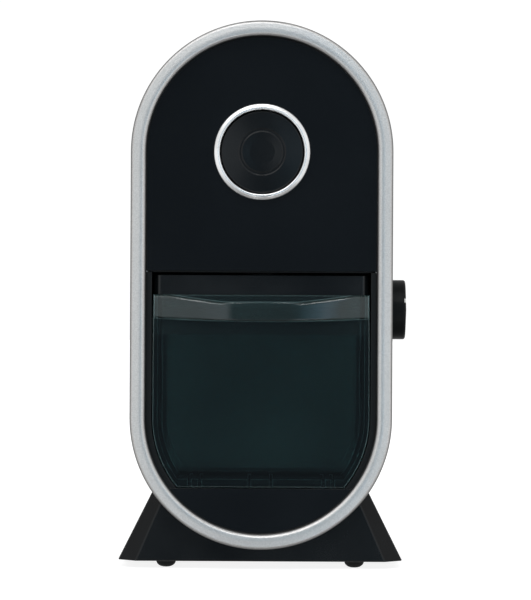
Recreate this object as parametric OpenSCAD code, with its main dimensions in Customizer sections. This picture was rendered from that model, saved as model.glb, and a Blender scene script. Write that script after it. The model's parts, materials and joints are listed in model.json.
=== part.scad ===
// Electric burr coffee grinder: an upright stadium-shaped body on a sloped stand, with a silver
// front ring, a round start button, a drawer-like grounds container, a dose selector knob at
// the right, and a bean hopper under the rounded top.
// Millimetres. +Z is up, the front faces -Y, and the origin is the middle of the footprint.

/* [Front ring] */
// Width across the silver ring
ring_w = 125; // [124:0.5:126]
// Height of the silver ring
ring_h = 252; // [251:0.5:253]
// Height of the ring's lowest point above the floor
ring_lift = 10; // [9.5:0.5:11]
// Width of the ring's visible band
ring_band = 7.4; // [7:0.1:7.6]

/* [Housing] */
// Distance from the middle to the foremost face of the ring
front_reach = 80; // [79.5:0.5:81]
// Wall thickness of the housing
wall = 2.2; // [1.8:0.1:2.4]
// Where the housing ends and the rear cover begins
housing_back = 66; // [65:0.5:67]

/* [Start button] */
// Outer diameter of the bright bezel
bezel_d = 46; // [45.4:0.2:48]
// Diameter of the button
button_d = 38.4; // [37:0.2:38.6]
// How far the button travels
button_travel = 2.5; // [1.5:0.5:2.5]

/* [Grounds container] */
// Half the width of the container's front plate
tub_plate_half = 51.7; // [51:0.1:51.8]
// Height of the container's top edge above the floor
tub_top = 131.3; // [130.3:0.5:132.3]
// How far the grip lip bulges forward of its ends
lip_bulge = 5; // [3:0.5:5]

/* [Selector knob] */
// Diameter of the knob
knob_d = 29; // [27:0.5:34]
// Height of the knob's axis above the floor
knob_z = 124.5; // [120:0.5:128]

/* [Drive] */
// Play left between meshing teeth on each gear
backlash = 0.22; // [0.1:0.02:0.3]
// Diameter of the flat burrs
burr_d = 50; // [46:1:50]
// Gap between the burrs
burr_gap = 0.7; // [0.5:0.1:1]

/* [Stand] */
// Half the width of the stand at the floor
stand_half = 68.5; // [67:0.5:69]
// Gap between the stand and the floor
foot_h = 3.5; // [3:0.5:4]

/* [Hidden] */
$fn = 72;

eps = 0.5;                                  // how far a cutter runs past a face

// Stadium outline of the body, seen from the front
ring_r = ring_w / 2;
arc_low = ring_lift + ring_r;
arc_high = ring_lift + ring_h - ring_r;
ring_in = ring_r - ring_band;
ring_y = 12;                                // depth of the ring
ring_back = -front_reach + ring_y;
rebate = 0.7;                               // ledge that the front panels rest on
housing_half = ring_r - 1.2;
inner_half = housing_half - wall;

// Front panels
panel_r = ring_in - 0.1;
panel_face = -front_reach + 6;
panel_t = 2.5;
panel_back = panel_face + panel_t;
seam_z = 142;                               // underside of the bay's ceiling
upper_panel_low = seam_z + 0.6;

// Control board and the posts that carry it
board_post = [28, 25];                      // where the posts stand, from the board's middle
board_post_r = 3;
board_pilot_r = 1;
board_z = 186;
board_front = -52;

// Start button, as distances ahead of the origin
bezel_reach = 77.8;                         // foremost point of the bezel
bezel_in = button_d / 2 + 1.1;
sleeve_r = bezel_in + 1.2;
sleeve_back = 66;
button_reach = 76.2;                        // face of the button at rest
switch_front = 58;                          // front of the switch behind the button

// Container bay and container
bay_half = tub_plate_half + 0.6;
bay_wall = 2;
bay_floor = 39;
bay_back = 7.5;
tub_low = bay_floor + 0.3;
tub_half = tub_plate_half - 2.4;
tub_wall = 2;
tub_back = bay_back - 1;
tub_front = panel_face;
tub_plate_t = 2.4;
tub_under = tub_low + 4;                    // underside of the tub between its runners
tub_floor = tub_under + 3.2;
lip_low = 120.1;
lip_scoop = 3.6;                            // how far the lip's top edge dips in the middle
lip_ramp = [44, 18.5];                      // the dip's ramps start and end this far from the middle
runner_x = [-34, -29, -5.5, 5, 30, 34.5];   // runners under the tub
lid_top = seam_z - 1.4;
lid_front = -70;
lid_skirt_low = 112.5;
lid_corner = 3.5;

// Gears, and the axes of the drive in plan
gear_mod = 1;
burr_y = 8;
motor_y = 38;
teeth_small = 12;
teeth_motor_side = 42;
teeth_drive = 48;
pressure_angle = 25;
first_centres = gear_mod * (teeth_small + teeth_motor_side) / 2;
second_centres = gear_mod * (teeth_small + teeth_drive) / 2;
shaft_gap = motor_y - burr_y;
compound_y = burr_y + (second_centres * second_centres + shaft_gap * shaft_gap
    - first_centres * first_centres) / (2 * shaft_gap);
compound_x = sqrt(second_centres * second_centres
    - (compound_y - burr_y) * (compound_y - burr_y));
to_drive = atan2(burr_y - compound_y, -compound_x);
to_motor = atan2(motor_y - compound_y, -compound_x);

// Levels of the drive
gear_plate_z = seam_z + bay_wall;
gear_plate_t = 2.5;
first_z = gear_plate_z + 4;                 // motor pinion and the large compound wheel
first_t = 5;
second_z = first_z + first_t + 1;           // compound pinion and the drive gear
second_t = 6;
cover_z = second_z + second_t + 2;
cover_t = 2.5;
chamber_z = cover_z + cover_t;
chamber_floor_t = 2.5;
chamber_r = 30.5;
chamber_in = 28;
chamber_top = chamber_z + 23.5;
lower_carrier_z = chamber_z + 5;
carrier_t = 3.5;
lower_burr_z = lower_carrier_z + carrier_t;
burr_t = 5;
upper_burr_z = lower_burr_z + burr_t + burr_gap;
upper_carrier_z = upper_burr_z + burr_t;
carrier_r = 27.5;
burr_hole_r = 11;
burr_screw_r = 18;
seal_t = 1.5;
hopper_z = chamber_top + seal_t;
shaft_r = 3;
bush_r = 5;
fit = 0.03;                                 // running clearance of a shaft in its bush
pin_r = 2;
pin_fit = 0.05;

// Chute
chute_y = -31.5;
chute_r = 11;
chute_wall = 1.6;
chute_mouth = lid_top + 0.5;                // just above the container lid

// Hopper and its lid
hatch_half = 44;
hatch_front = -38;
hatch_back = 54;
bin_half = 42;
bin_wall = 2;
bin_floor = hopper_z + 20;
throat_r = 24.6;
lid_gap = 0.4;
lid_t = 2.4;
hatch_low = arc_high + 20;                  // below this height the housing's sides stay whole

// Motor
motor_r = 22;
can_t = 1.2;
motor_low = 54;
end_cap_t = 6;
motor_top = 126;
can_top_t = 2.5;
motor_shaft_r = 1.6;
motor_bush_r = 4;
motor_screw_x = 12.5;
mount_t = 3;
post_x = 28;

// Selector
knob_y = -30;
knob_base = housing_half + 0.7;
knob_tip = 71;
selector_in = bay_half + bay_wall + 0.6;
selector_bush_r = 4.5;
pointer_tilt = 18.5;                        // the pointer stands this far above the front
pointer_w = 2.2;

// Stand
stand_front = -66;
stand_back = 80;
stand_top = 37.5;
stand_slope = 26.5;
stand_wall = 2.5;
stand_chamfer = 8.5;
plate_z = foot_h;
plate_t = 2;
foot_x = 45.4;
foot_y = [-54, 66];
foot_r = 5;
base_screw_x = 44;
base_screw_y = [-28, 46];

// Rear cover, its screws and the cord gland
cover_step = 3;
cover_back = housing_back + 2 * cover_step;
cover_boss_x = 48;
gland_z = 40;
gland_bore = 3.3;
gland_r = 5.5;

// ---- shared shapes ----

// Extrudes an outline drawn in X and Z from y0 to y1
module along_y(y0, y1) {
    translate([0, y1, 0]) rotate([90, 0, 0]) linear_extrude(y1 - y0) children();
}

// Turns a shape made along +Z so that it points forward (-Y), at the height z
module forward(z) {
    translate([0, 0, z]) rotate([90, 0, 0]) children();
}

module stadium(half) {
    translate([0, arc_low]) circle(r = half);
    translate([0, arc_high]) circle(r = half);
    translate([-half, arc_low]) square([2 * half, arc_high - arc_low]);
}

// Straight sides on a round bottom, cut flat at z0
module u_outline(half, z0, z1) {
    intersection() {
        union() {
            translate([0, arc_low]) circle(r = half);
            translate([-half, arc_low]) square([2 * half, z1 - arc_low]);
        }
        translate([-half, z0]) square([2 * half, z1 - z0]);
    }
}

// Rectangle with round corners, given by its half width and its front and back
module round_rect(half, y0, y1, r) {
    translate([-half, y0 + r]) square([2 * half, y1 - y0 - 2 * r]);
    translate([-half + r, y0]) square([2 * (half - r), y1 - y0]);
    for (x = [-half + r, half - r], y = [y0 + r, y1 - r]) translate([x, y]) circle(r = r);
}

module round_prism(half, y0, y1, r, z0, z1) {
    translate([0, 0, z0]) linear_extrude(z1 - z0) round_rect(half, y0, y1, r);
}

module tube(r_out, r_in, h) {
    difference() {
        cylinder(r = r_out, h = h);
        translate([0, 0, -eps]) cylinder(r = r_in, h = h + 2 * eps);
    }
}

// Pan-head screw along +Z, its shank downward from the origin
module screw(r, length, head_r, head_h) {
    translate([0, 0, -length]) cylinder(r = r, h = length);
    difference() {
        cylinder(r = head_r, h = head_h);
        for (a = [0, 90]) rotate([0, 0, a])
            translate([-head_r * 0.6, -r * 0.2, head_h * 0.5]) cube([head_r * 1.2, r * 0.4, head_h]);
    }
}

// Involute gear outline, with a tooth on the +X axis
function involute(pitch_angle) = tan(pitch_angle) * 180 / PI - pitch_angle;
function tooth_half(n, r) = let (rp = gear_mod * n / 2, rb = rp * cos(pressure_angle))
    (PI * gear_mod / 2 - backlash) / (2 * rp) * 180 / PI
    + involute(pressure_angle) - involute(acos(min(1, rb / r)));
function polar(r, a) = [r * cos(a), r * sin(a)];

module gear_outline(n) {
    rp = gear_mod * n / 2;
    root = rp - 1.25 * gear_mod;
    tip = rp + gear_mod;
    foot = max(root, rp * cos(pressure_angle));
    steps = 4;
    radii = [for (i = [0:steps]) foot + (tip - foot) * i / steps];
    half = [for (r = radii) tooth_half(n, r)];
    polygon([for (t = [0:n - 1]) let (a = t * 360 / n) each concat(
        [polar(root, a - half[0])],
        [for (i = [0:steps]) polar(radii[i], a - half[i])],
        [for (i = [steps:-1:0]) polar(radii[i], a + half[i])],
        [polar(root, a + half[0])])]);
}

module gear(n, thickness, bore) {
    difference() {
        linear_extrude(thickness) gear_outline(n);
        translate([0, 0, -eps]) cylinder(r = bore, h = thickness + 2 * eps);
    }
}

// ---- front and housing ----

module ring_profile() {
    outer_bevel = 1.2;
    inner_bevel = 2;
    polygon([[ring_in - rebate, -ring_back], [ring_r, -ring_back],
        [ring_r, front_reach - outer_bevel], [ring_r - outer_bevel, front_reach],
        [ring_in + inner_bevel, front_reach], [ring_in, front_reach - inner_bevel],
        [ring_in, -panel_back], [ring_in - rebate, -panel_back]]);
}

module front_ring() {
    color("silver") {
        for (side = [0, 1]) mirror([side, 0, 0]) translate([0, 0, arc_low]) mirror([0, 1, 0])
            linear_extrude(arc_high - arc_low) ring_profile();
        forward(arc_high) rotate_extrude(angle = 180) ring_profile();
        forward(arc_low) rotate([0, 0, 180]) rotate_extrude(angle = 180) ring_profile();
    }
}

module upper_front_panel() {
    color("#16181b") {
        along_y(panel_face, panel_back) difference() {
            intersection() {
                stadium(panel_r);
                translate([-panel_r, upper_panel_low]) square([2 * panel_r, ring_h]);
            }
            translate([0, arc_high]) circle(r = sleeve_r + 0.1);
        }
        for (x = [-1, 1], z = [-1, 1])
            translate([x * board_post[0], panel_back, board_z + z * board_post[1]])
            rotate([-90, 0, 0]) tube(board_post_r, board_pilot_r, board_front - panel_back);
    }
}

module lower_front_panel() {
    color("#141619") along_y(panel_face, panel_back) intersection() {
        translate([0, arc_low]) circle(r = panel_r);
        translate([-panel_r, 0]) square([2 * panel_r, bay_floor - 0.1]);
    }
}

module main_housing() {
    boss_r = 4;
    boss_front = housing_back - 20;
    shelf_y = 12;
    color("#17181a") {
        difference() {
            along_y(ring_back, housing_back) difference() {
                stadium(housing_half);
                stadium(inner_half);
            }
            translate([-hatch_half, hatch_front, hatch_low])
                cube([2 * hatch_half, hatch_back - hatch_front, ring_r]);
            translate([inner_half - eps, knob_y, knob_z]) rotate([0, 90, 0])
                cylinder(r = selector_bush_r + 0.1, h = wall + 2 * eps);
        }
        for (x = [-1, 1], z = [arc_low, arc_high])
            along_y(boss_front, housing_back) difference() {
                union() {
                    translate([x * cover_boss_x, z]) circle(r = boss_r);
                    translate([x > 0 ? cover_boss_x : -inner_half - eps, z - 1.5])
                        square([inner_half + eps - cover_boss_x, 3]);
                }
                translate([x * cover_boss_x, z]) circle(r = 1.3);
            }
        for (x = [-inner_half - eps, 50])
            translate([x, shelf_y, gear_plate_z - 2.5])
            cube([inner_half + eps - 50, housing_back - 6 - shelf_y, 2.5]);
    }
}

module container_bay() {
    color("#1b1d20") {
        difference() {
            along_y(panel_back, bay_back + bay_wall)
                u_outline(bay_half + bay_wall, bay_floor - bay_wall, seam_z + bay_wall);
            along_y(panel_back - eps, bay_back) u_outline(bay_half, bay_floor, seam_z);
            translate([0, chute_y, seam_z - eps])
                cylinder(r = chute_r + 0.2, h = bay_wall + 2 * eps);
        }
        along_y(panel_face, panel_back) difference() {
            u_outline(panel_r, bay_floor, seam_z);
            u_outline(bay_half, bay_floor - eps, seam_z + eps);
        }
    }
}

module rear_cover() {
    vent_half = 20;
    vent_t = 3;
    vent_pitch = 7;
    color("#1a1c1e") difference() {
        union() {
            along_y(housing_back, housing_back + cover_step) stadium(housing_half);
            along_y(housing_back + cover_step, cover_back) stadium(housing_half - 7);
        }
        for (z = [0:5], level = [arc_low, arc_high - 42])
            translate([-vent_half, housing_back - eps, level + z * vent_pitch])
            cube([2 * vent_half, 2 * cover_step + 2 * eps, vent_t]);
        for (x = [-1, 1], z = [arc_low, arc_high])
            translate([x * cover_boss_x, housing_back - eps, z]) rotate([-90, 0, 0]) {
                cylinder(r = 1.6, h = 3 * cover_step);
                translate([0, 0, eps + cover_step - 1]) cylinder(r = 3.2, h = 3 * cover_step);
            }
        translate([0, housing_back - eps, gland_z]) rotate([-90, 0, 0])
            cylinder(r = gland_r, h = 3 * cover_step);
    }
}

module rear_cover_screws() {
    color("#8d9093") for (x = [-1, 1], z = [arc_low, arc_high])
        translate([x * cover_boss_x, housing_back + cover_step - 1, z]) rotate([-90, 0, 0])
        screw(1.3, 12, 2.9, 2.2);
}

// ---- stand ----

// Footprint of the stand with cut corners, in plan
module stand_plan(half, y0, y1, cut) {
    polygon([[-half + cut, y0], [half - cut, y0], [half, y0 + cut], [half, y1 - cut],
        [half - cut, y1], [-half + cut, y1], [-half, y1 - cut], [-half, y0 + cut]]);
}

module stand_block(inset) {
    rise = stand_top - foot_h;
    shrink = rise * tan(stand_slope);
    slab = 0.01;
    hull() {
        translate([0, 0, foot_h - (inset > 0 ? eps : 0)]) linear_extrude(slab)
            stand_plan(stand_half - inset, stand_front + inset, stand_back - inset, stand_chamfer);
        translate([0, 0, stand_top - slab - inset]) linear_extrude(slab)
            stand_plan(stand_half - shrink - inset, stand_front + inset, 72 - inset, 6.3);
    }
}

module stand_cradle(r) {
    translate([0, stand_front - eps, arc_low]) rotate([-90, 0, 0])
        cylinder(r = r, h = stand_back - stand_front + 2 * eps, $fn = 144);
}

module base_stand() {
    color("#1c1d1f") difference() {
        union() {
            difference() {
                stand_block(0);
                difference() {
                    stand_block(stand_wall);
                    stand_cradle(housing_half + stand_wall);
                }
            }
            for (x = [-1, 1], y = base_screw_y)
                translate([x * base_screw_x, y, plate_z + plate_t])
                cylinder(r = 4, h = stand_top - 14 - plate_z);
        }
        stand_cradle(housing_half);
        for (x = [-1, 1], y = base_screw_y)
            translate([x * base_screw_x, y, foot_h]) cylinder(r = 1.3, h = 14);
    }
}

module base_plate() {
    margin = stand_wall + 2;
    color("#232527") difference() {
        translate([0, 0, plate_z]) linear_extrude(plate_t)
            stand_plan(stand_half - margin, stand_front + margin, stand_back - margin, 8);
        for (x = [-1, 1], y = base_screw_y)
            translate([x * base_screw_x, y, plate_z - eps]) cylinder(r = 1.6, h = 3);
        for (x = [-1, 1], y = foot_y)
            translate([x * foot_x, y, plate_z - eps]) cylinder(r = 2, h = 3);
    }
}

module base_screws() {
    color("#8d9093") for (x = [-1, 1], y = base_screw_y)
        translate([x * base_screw_x, y, plate_z]) mirror([0, 0, 1]) screw(1.3, 9, 2.9, 1.8);
}

module rubber_feet() {
    flat_r = 2;
    color("#0e0f10") for (x = [-1, 1], y = foot_y) translate([x * foot_x, y, 0]) {
        rotate_extrude() polygon(concat([[0, 0]],
            [for (a = [-90:15:0])
                [flat_r + (foot_r - flat_r) * cos(a), foot_h + foot_h * sin(a)]],
            [[0, foot_h]]));
        translate([0, 0, foot_h - 0.2]) cylinder(r = 2, h = plate_t + 1.2);
    }
}

// ---- start button ----

module button_bezel() {
    r_out = bezel_d / 2;
    soft = 1.2;
    color("#d9dadb") forward(arc_high) rotate_extrude() polygon(concat(
        [[bezel_in, sleeve_back]],
        [[sleeve_r, sleeve_back], [sleeve_r, -panel_face], [r_out, -panel_face]],
        [for (a = [0:15:90]) [r_out - soft + soft * cos(a), bezel_reach - soft + soft * sin(a)]],
        [[bezel_in + 0.8, bezel_reach], [bezel_in, bezel_reach - 0.8]]));
}

module power_button() {
    r = button_d / 2;
    dish = 1.2;
    cap_wall = 1.6;
    color("#1a1c1f") forward(arc_high) {
        difference() {
            rotate_extrude() polygon([[0, sleeve_back], [r, sleeve_back],
                [r, button_reach - dish], [r - dish, button_reach], [0, button_reach]]);
            translate([0, 0, button_reach - 0.5]) tube(11.2, 9.8, 1);
            translate([0, 0, sleeve_back - eps])
                cylinder(r = r - cap_wall, h = button_reach - sleeve_back - 2 + eps);
        }
        translate([0, 0, sleeve_back - 2]) tube(sleeve_r, r - cap_wall, 1.6);
        translate([0, 0, sleeve_back - 0.4]) tube(r, r - cap_wall, 0.5);
        translate([0, 0, switch_front + 4])
            cylinder(r = 4, h = button_reach - switch_front - 5.9);
    }
}

module switch_plunger() {
    color("#b9bcbf") forward(arc_high)
        translate([0, 0, switch_front - 0.4]) cylinder(r = 2.5, h = 4.4);
}

module power_switch() {
    color("#2b3f66") difference() {
        translate([-9, -switch_front, arc_high - 9])
            cube([18, switch_front + board_front, 18]);
        forward(arc_high) translate([0, 0, switch_front - 4]) cylinder(r = 2.9, h = 5);
    }
}

module control_board() {
    board_t = 1.6;
    back = board_front + board_t;
    color("#1f5a35") {
        difference() {
            translate([-33, board_front, board_z - 30]) cube([66, board_t, 60]);
            for (x = [-1, 1], z = [-1, 1])
                translate([x * board_post[0], board_front - eps, board_z + z * board_post[1]])
                rotate([-90, 0, 0]) cylinder(r = 1.3, h = 3);
        }
        translate([-24, back, board_z - 8]) cube([18, 6, 15]);
        translate([14, back, board_z - 2]) rotate([-90, 0, 0]) cylinder(r = 5, h = 6);
        translate([-20, back, board_z + 12]) cube([26, 5, 9]);
        for (x = [4, 12, 20]) translate([x, back, board_z - 22]) cube([5, 6, 8]);
    }
}

module board_screws() {
    color("#8d9093") for (x = [-1, 1], z = [-1, 1])
        translate([x * board_post[0], board_front + 1.6, board_z + z * board_post[1]])
        rotate([-90, 0, 0]) screw(1, 6, 2.2, 1.6);
}

// ---- selector ----

module at_knob() {
    translate([0, knob_y, knob_z]) rotate([0, 90, 0]) children();
}

module knob_body() {
    r = knob_d / 2;
    soft = 1;
    dome = 0.8;
    rotate_extrude() polygon(concat([[0, knob_base], [r, knob_base]],
        [for (a = [0:15:90]) [r - soft + soft * cos(a), knob_tip - dome - soft + soft * sin(a)]],
        [[0, knob_tip]]));
}

// Bar that cuts the pointer's place out of the knob, pointing to the front and a little up
module pointer_bar() {
    depth = 1.5;
    rotate([0, 0, -90 - pointer_tilt])
        translate([knob_d * 0.28, -pointer_w / 2, knob_tip - depth]) cube([knob_d, pointer_w, 9]);
}

module selector_knob() {
    color("#141517") at_knob() difference() {
        knob_body();
        pointer_bar();
        translate([0, 0, knob_base - eps]) cylinder(r = 8.5, h = 2.8 + eps);
        cylinder(r = shaft_r, h = knob_tip - 3);
    }
}

module knob_pointer() {
    color("#e8e8e6") at_knob() intersection() {
        knob_body();
        pointer_bar();
    }
}

module selector_shaft() {
    color("#b4b7ba") at_knob() translate([0, 0, selector_in + 1])
        cylinder(r = shaft_r, h = knob_tip - 3.2 - selector_in - 1);
}

module selector_switch() {
    color("#3a3d41") difference() {
        union() {
            translate([selector_in, knob_y - 10, knob_z - 10])
                cube([inner_half - selector_in, 20, 20]);
            at_knob() translate([0, 0, inner_half - 1])
                cylinder(r = selector_bush_r, h = housing_half + 2.4 - inner_half + 1);
        }
        at_knob() translate([0, 0, selector_in + 0.7])
            cylinder(r = shaft_r + fit, h = knob_tip);
    }
}

module selector_nut() {
    color("#b4b7ba") at_knob() translate([0, 0, housing_half]) difference() {
        cylinder(r = 7, h = 2, $fn = 6);
        translate([0, 0, -eps]) cylinder(r = selector_bush_r, h = 3);
    }
}

// ---- grounds container ----

// Grip lip: bulges forward in plan, and its top edge dips in the middle
module grip_lip() {
    half = tub_plate_half;
    plan_r = (half * half + lip_bulge * lip_bulge) / (2 * lip_bulge);
    dip = tub_top - lip_scoop;
    lip_face = tub_front - 0.5 - lip_bulge;
    difference() {
        intersection() {
            translate([-half, lip_face - eps, lip_low])
                cube([2 * half, tub_front + 0.2 - lip_face + eps, tub_top - lip_low]);
            translate([0, lip_face + plan_r, lip_low - eps])
                cylinder(r = plan_r, h = 20, $fn = 720);
        }
        along_y(lip_face - eps, tub_front - 0.6)
            polygon([[-lip_ramp[0], tub_top], [-lip_ramp[1], dip], [lip_ramp[1], dip],
                [lip_ramp[0], tub_top], [lip_ramp[0], tub_top + eps], [-lip_ramp[0], tub_top + eps]]);
    }
}

module grounds_container() {
    color("#26383c") {
        difference() {
            union() {
                along_y(tub_front, tub_front + tub_plate_t)
                    u_outline(tub_plate_half, tub_low, tub_top);
                along_y(tub_front + 1, tub_back) u_outline(tub_half, tub_under, tub_top);
            }
            along_y(tub_front + tub_plate_t, tub_back - tub_wall)
                u_outline(tub_half - tub_wall, tub_floor, tub_top + eps);
        }
        for (x = runner_x)
            translate([x - 0.8, tub_front + 1, tub_low])
            cube([1.6, tub_back - tub_front - 4, tub_floor - tub_low - 1]);
        grip_lip();
    }
}

module container_lid() {
    skin = 2;
    skirt_half = tub_half - tub_wall - 1;
    skirt_front = tub_front + tub_plate_t + 1;
    skirt_back = tub_back - tub_wall - 1;
    half = tub_plate_half;
    inlet_r = 12;
    color("#131518") difference() {
        union() {
            round_prism(half, lid_front, tub_back, lid_corner, tub_top, lid_top);
            round_prism(skirt_half, skirt_front, skirt_back, 4, lid_skirt_low, tub_top + eps);
        }
        round_prism(half - skin, lid_front + skin, tub_back - skin, lid_corner - skin,
            tub_top + skin, lid_top - skin);
        round_prism(skirt_half - skin, skirt_front + skin, skirt_back - skin, 2.5,
            lid_skirt_low - eps, lid_top - skin);
        translate([0, chute_y, tub_top]) cylinder(r = inlet_r, h = 20);
    }
}

module container_gasket() {
    outer = tub_half - tub_wall - 0.1;
    color("#3b3d3f") translate([0, 0, tub_top - 6]) linear_extrude(3) difference() {
        round_rect(outer, tub_front + tub_plate_t + 0.1, tub_back - tub_wall - 0.1, 4.9);
        round_rect(outer - 0.9, tub_front + tub_plate_t + 1, tub_back - tub_wall - 1, 4);
    }
}

// ---- hopper ----

// Everything below the round underside of the housing's top
module under_arc(r) {
    translate([0, 0, arc_high]) rotate([90, 0, 0])
        cylinder(r = r, h = 300, center = true, $fn = 144);
}

module hopper() {
    front = hatch_front + 2;
    back = hatch_back - 2;
    cone_r = 38;
    color("#2f4347") {
        intersection() {
            difference() {
                round_prism(bin_half, front, back, 8, bin_floor, 262);
                round_prism(bin_half - bin_wall, front + bin_wall, back - bin_wall, 6,
                    bin_floor + bin_wall, 263);
                translate([0, burr_y, bin_floor - eps]) cylinder(r = cone_r, h = 5);
            }
            under_arc(housing_half - lid_t - lid_gap);
        }
        translate([0, burr_y, hopper_z + 2]) difference() {
            cylinder(r1 = throat_r + 2, r2 = cone_r + 2, h = bin_floor - hopper_z);
            translate([0, 0, -0.01])
                cylinder(r1 = throat_r, r2 = cone_r + 0.01, h = bin_floor - hopper_z + 0.02);
        }
        translate([0, burr_y, hopper_z]) tube(32, throat_r, 2.01);
    }
}

module hopper_lid() {
    half = hatch_half - lid_gap;
    rim = bin_half - bin_wall - 0.6;
    front = hatch_front + lid_gap;
    back = hatch_back - lid_gap;
    inset = 4 + 0.6 - lid_gap;
    color("#2b3d41") {
        along_y(front, back) intersection() {
            difference() {
                translate([0, arc_high]) circle(r = housing_half, $fn = 144);
                translate([0, arc_high]) circle(r = housing_half - lid_t, $fn = 144);
            }
            translate([-half, hatch_low]) square([2 * half, ring_r]);
        }
        intersection() {
            difference() {
                round_prism(rim, front + inset, back - inset, 5.4, 233, 262);
                round_prism(rim - 1.6, front + inset + 1.6, back - inset - 1.6, 3.8, 232, 263);
            }
            under_arc(housing_half - 1);
        }
    }
}

// ---- burrs ----

module at_burr(z) {
    translate([0, burr_y, z]) children();
}

module adjuster_ring() {
    ridges = 16;
    r_in = 15.9;
    r_out = 22.6;
    color("#d07a2a") at_burr(hopper_z) {
        difference() {
            union() {
                cylinder(r = r_out, h = 6.5);
                for (i = [0:ridges - 1]) rotate([0, 0, i * 360 / ridges])
                    translate([r_out - 1, -1.2, 0]) cube([2.2, 2.4, 6.5]);
            }
            translate([0, 0, -eps]) cylinder(r = r_in, h = 8);
        }
    }
}

// Flat ring burr with radial cutting grooves on its face at z = thickness
module burr(thickness) {
    grooves = 24;
    slant = 18;
    difference() {
        cylinder(r = burr_d / 2, h = thickness);
        translate([0, 0, -eps]) cylinder(r = burr_hole_r, h = thickness + 2 * eps);
        for (i = [0:grooves - 1]) rotate([0, 0, i * 360 / grooves])
            translate([burr_hole_r + 1, 0, thickness]) rotate([45, 4, slant])
            translate([-3, -0.8, -0.8]) cube([burr_d, 1.6, 1.6]);
        for (i = [0:2]) rotate([0, 0, i * 120 + 7.5]) translate([burr_screw_r, 0, -eps]) {
            cylinder(r = 1.6, h = thickness + 2 * eps);
            translate([0, 0, thickness - 1.5 + eps]) cylinder(r = 3.1, h = 3);
        }
    }
}

module lower_burr() {
    color("#9fa3a6") at_burr(lower_burr_z) burr(burr_t);
}

module upper_burr() {
    color("#9fa3a6") at_burr(upper_carrier_z) mirror([0, 0, 1]) burr(burr_t);
}

module burr_screw_set() {
    for (i = [0:2]) rotate([0, 0, i * 120 + 7.5]) translate([burr_screw_r, 0, burr_t - 1.5])
        screw(1.4, 5.5, 2.8, 1.2);
}

module lower_burr_screws() {
    color("#6d7073") at_burr(lower_burr_z) burr_screw_set();
}

module upper_burr_screws() {
    color("#6d7073") at_burr(upper_carrier_z) mirror([0, 0, 1]) burr_screw_set();
}

module lower_burr_carrier() {
    color("#c9ccce") at_burr(lower_carrier_z) difference() {
        union() {
            cylinder(r = carrier_r - 1, h = carrier_t);
            cylinder(r = 7, h = carrier_t + 3);
            translate([0, 0, -0.7]) cylinder(r = 6, h = 1);
            for (a = [0, 180]) rotate([0, 0, a]) translate([14, -1.5, -1.9]) cube([12, 3, 2.4]);
        }
        translate([0, 0, -3]) cylinder(r = shaft_r, h = 12);
        for (i = [0:2]) rotate([0, 0, i * 120 + 7.5])
            translate([burr_screw_r, 0, carrier_t - 2.5]) cylinder(r = 1.4, h = 3);
    }
}

module upper_burr_carrier() {
    ear_z = 0.3;
    color("#c9ccce") at_burr(upper_carrier_z) difference() {
        union() {
            cylinder(r = carrier_r, h = 3.8);
            cylinder(r = 15.5, h = 8.5);
            for (a = [0, 180]) rotate([0, 0, a])
                translate([carrier_r - 1, -2.2, ear_z]) cube([3.5, 4.4, 2.5]);
        }
        translate([0, 0, -eps]) cylinder(r = burr_hole_r + 1, h = 10);
        for (i = [0:2]) mirror([0, 1, 0]) rotate([0, 0, -i * 120 - 7.5])
            translate([burr_screw_r, 0, -eps]) cylinder(r = 1.4, h = 3);
    }
}

module shaft_nut() {
    color("#8d9093") at_burr(lower_carrier_z + carrier_t + 3) difference() {
        cylinder(r = 5.5, h = 2.6, $fn = 6);
        translate([0, 0, -eps]) cylinder(r = shaft_r, h = 4);
    }
}

module drive_shaft() {
    low = gear_plate_z + 0.5;
    color("#a7abae") at_burr(low)
        cylinder(r = shaft_r, h = lower_carrier_z + carrier_t + 6 - low);
}

module shaft_bushes() {
    color("#b98b4e") {
        at_burr(gear_plate_z) tube(bush_r, shaft_r + fit, 3.4);
        at_burr(cover_z) tube(bush_r, shaft_r + fit, chamber_z + 4 - cover_z);
    }
}

module grinding_chamber() {
    box_half = 12.5;
    box_wall = 2;
    box_front = chute_y - 12.5;
    box_top = chamber_z + 19;
    color("#33373b") difference() {
        union() {
            at_burr(chamber_z) cylinder(r = chamber_r, h = chamber_top - chamber_z);
            translate([-box_half, box_front, chamber_z])
                cube([2 * box_half, burr_y - 15 - box_front, box_top - chamber_z]);
        }
        at_burr(chamber_z + chamber_floor_t) cylinder(r = chamber_in, h = 40);
        translate([-box_half + box_wall, box_front + box_wall, chamber_z + chamber_floor_t])
            cube([2 * (box_half - box_wall), burr_y - box_front - 12,
                box_top - chamber_z - chamber_floor_t - box_wall]);
        translate([0, chute_y, chamber_z - eps]) cylinder(r = chute_r - chute_wall, h = 5);
        at_burr(chamber_z - eps) cylinder(r = bush_r, h = 5);
        for (a = [0, 180]) at_burr(chamber_top - 8) rotate([0, 0, a])
            translate([chamber_in - 2, -2.6, 0]) cube([2 + 2.2, 5.2, 9]);
    }
}

module chamber_seal() {
    color("#3b3d3f") at_burr(chamber_top) tube(chamber_r, chamber_in + 0.2, seal_t);
}

module grounds_chute() {
    color("#33373b") translate([0, chute_y, chute_mouth])
        tube(chute_r, chute_r - chute_wall, chamber_z - chute_mouth);
}

// ---- gears ----

module drive_gear() {
    color("#e6e2d6") at_burr(second_z) {
        rotate([0, 0, to_drive + 180 + 180 / teeth_drive])
            gear(teeth_drive, second_t, shaft_r);
        translate([0, 0, -4]) tube(6, shaft_r, 4.01);
    }
}

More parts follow.
